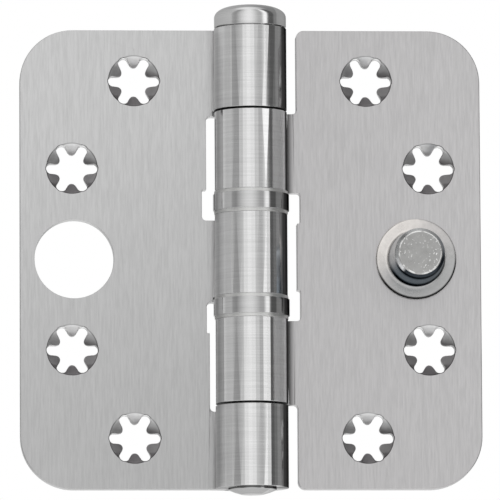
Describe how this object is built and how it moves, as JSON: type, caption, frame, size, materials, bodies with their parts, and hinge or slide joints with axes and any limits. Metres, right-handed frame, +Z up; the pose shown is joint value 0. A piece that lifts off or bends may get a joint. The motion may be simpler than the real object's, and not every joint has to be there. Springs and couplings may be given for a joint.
{
  "type": "bearing butt hinge",
  "caption": "Stainless butt hinge with rounded leaves, star-shaped countersunk screw holes, ball bearings between its knuckles and a stud that locks into the facing leaf.",
  "frame": {"origin": "on the pin's axis, half way up the leaves", "axes": "+Z up the pin towards its head, +X towards the door leaf when open flat, +Y out of the backs of the open leaves"},
  "size_m": [0.089, 0.0168, 0.0947],
  "materials": {
    "leaf_steel": "brushed along the pin",
    "pin_steel": "turned, satin",
    "race_steel": "turned, matt",
    "sleeve_steel": "polished",
    "ball_steel": "polished",
    "stud_zinc": "zinc plated, turned"
  },
  "bodies": {
    "frame_side": {"frame_leaf": "leaf_steel", "hinge_pin": "pin_steel", "upper_bearing_lower_race": "race_steel", "upper_bearing_sleeve": "sleeve_steel", "lower_bearing_upper_race": "race_steel"},
    "door_side": {"door_leaf": "leaf_steel", "security_stud": "stud_zinc", "upper_bearing_upper_race": "race_steel", "lower_bearing_lower_race": "race_steel", "lower_bearing_sleeve": "sleeve_steel"},
    "upper_balls": {"upper_bearing_ball_1": "ball_steel", "upper_bearing_ball_2": "ball_steel", "upper_bearing_ball_3": "ball_steel", "upper_bearing_ball_4": "ball_steel", "upper_bearing_ball_5": "ball_steel", "upper_bearing_ball_6": "ball_steel", "upper_bearing_ball_7": "ball_steel", "upper_bearing_ball_8": "ball_steel", "upper_bearing_ball_9": "ball_steel", "upper_bearing_ball_10": "ball_steel", "upper_bearing_ball_11": "ball_steel", "upper_bearing_ball_12": "ball_steel"},
    "lower_balls": {"lower_bearing_ball_1": "ball_steel", "lower_bearing_ball_2": "ball_steel", "lower_bearing_ball_3": "ball_steel", "lower_bearing_ball_4": "ball_steel", "lower_bearing_ball_5": "ball_steel", "lower_bearing_ball_6": "ball_steel", "lower_bearing_ball_7": "ball_steel", "lower_bearing_ball_8": "ball_steel", "lower_bearing_ball_9": "ball_steel", "lower_bearing_ball_10": "ball_steel", "lower_bearing_ball_11": "ball_steel", "lower_bearing_ball_12": "ball_steel"}
  },
  "joints": [
    {"name": "leaf_swing", "type": "hinge", "parent": "frame_side", "child": "door_side", "pos_m": [0, 0, 0], "axis": [0, 0, -1], "range_deg": [-90, 180]},
    {"name": "upper_ball_roll", "type": "hinge", "parent": "frame_side", "child": "upper_balls", "pos_m": [0, 0, 0], "axis": [0, 0, -1], "range_deg": [-45, 90]},
    {"name": "lower_ball_roll", "type": "hinge", "parent": "frame_side", "child": "lower_balls", "pos_m": [0, 0, 0], "axis": [0, 0, -1], "range_deg": [-45, 90]}
  ],
  "couplings": [
    {"joint": "upper_ball_roll", "follows": "leaf_swing", "ratio": 0.5},
    {"joint": "lower_ball_roll", "follows": "leaf_swing", "ratio": 0.5}
  ]
}
